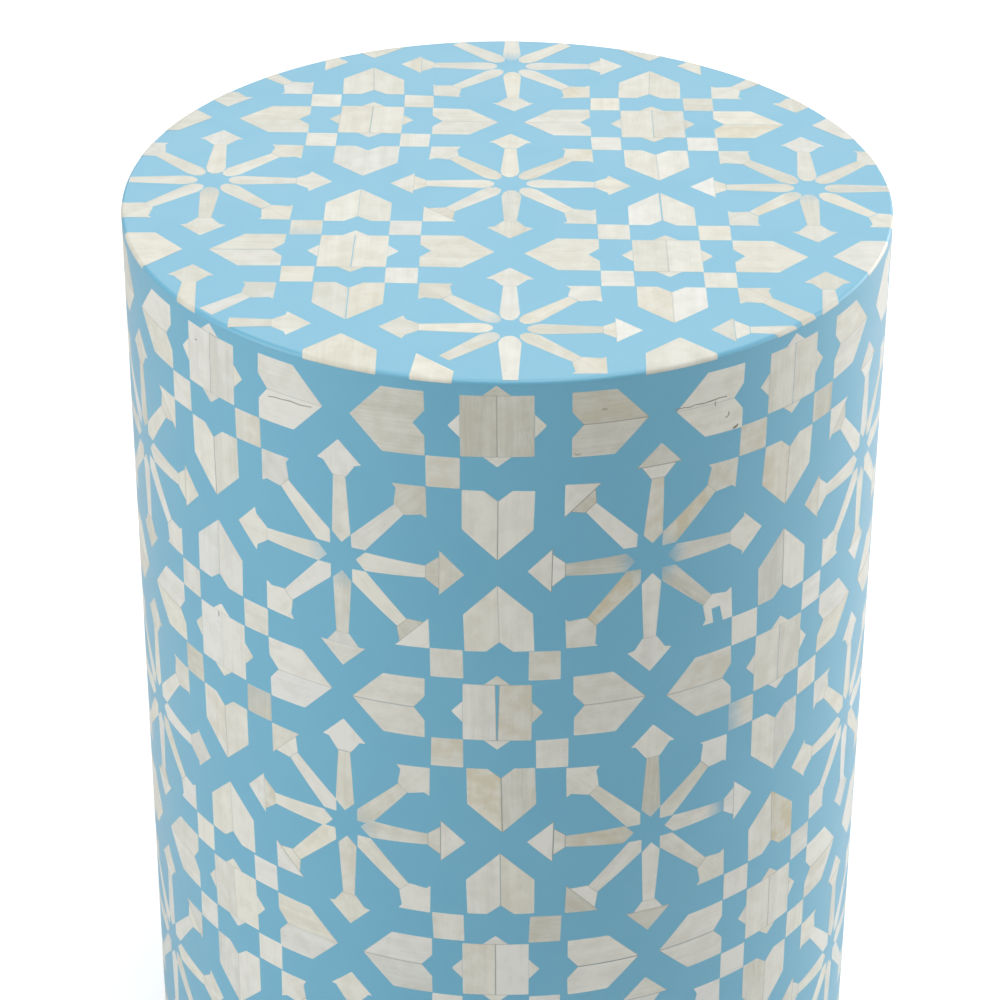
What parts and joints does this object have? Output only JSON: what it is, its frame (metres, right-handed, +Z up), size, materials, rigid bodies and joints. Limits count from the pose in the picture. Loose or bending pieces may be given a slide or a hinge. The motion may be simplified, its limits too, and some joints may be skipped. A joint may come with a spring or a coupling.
{
  "type": "drum stool",
  "caption": "Straight round drum stool, its seat and wall of light blue resin inlaid with bone slips in eight-pointed stars and rosettes of arrows.",
  "frame": {"origin": "on the floor, under the middle of the drum", "axes": "+Z up along the drum, -Y towards the front of the picture, +X to its right"},
  "size_m": [0.335, 0.335, 0.46],
  "materials": {
    "resin": "light blue poured resin, sanded flush with the bone and buffed to a satin gloss",
    "bone": "ivory bone, streaked and slightly uneven in tone, polished",
    "board": "medium density fibreboard, sealed",
    "plywood": "bending plywood, unfinished",
    "softwood": "sawn and planed softwood, unfinished",
    "nylon": "off-white nylon",
    "steel": "zinc plated"
  },
  "bodies": {
    "root": {"base_board": "board", "base_screw_1": "steel", "base_screw_2": "steel", "base_screw_3": "steel", "base_screw_4": "steel", "batten_1": "softwood", "batten_2": "softwood", "batten_3": "softwood", "batten_4": "softwood", "batten_5": "softwood", "batten_6": "softwood", "batten_7": "softwood", "batten_8": "softwood", "glide_nail_1": "steel", "glide_nail_2": "steel", "glide_nail_3": "steel", "glide_nail_4": "steel", "glide_pad_1": "nylon", "glide_pad_2": "nylon", "glide_pad_3": "nylon", "glide_pad_4": "nylon", "middle_rib": "board", "ply_wall": "plywood", "seat_board": "board", "seat_edge_slip_1": "bone", "seat_edge_slip_10": "bone", "seat_edge_slip_11": "bone", "seat_edge_slip_12": "bone", "seat_edge_slip_13": "bone", "seat_edge_slip_14": "bone", "seat_edge_slip_15": "bone", "seat_edge_slip_16": "bone", "seat_edge_slip_2": "bone", "seat_edge_slip_3": "bone", "seat_edge_slip_4": "bone", "seat_edge_slip_5": "bone", "seat_edge_slip_6": "bone", "seat_edge_slip_7": "bone", "seat_edge_slip_8": "bone", "seat_edge_slip_9": "bone", "seat_inlay": "bone", "seat_resin": "resin", "wall_inlay": "bone", "wall_resin": "resin"}
  },
  "joints": []
}
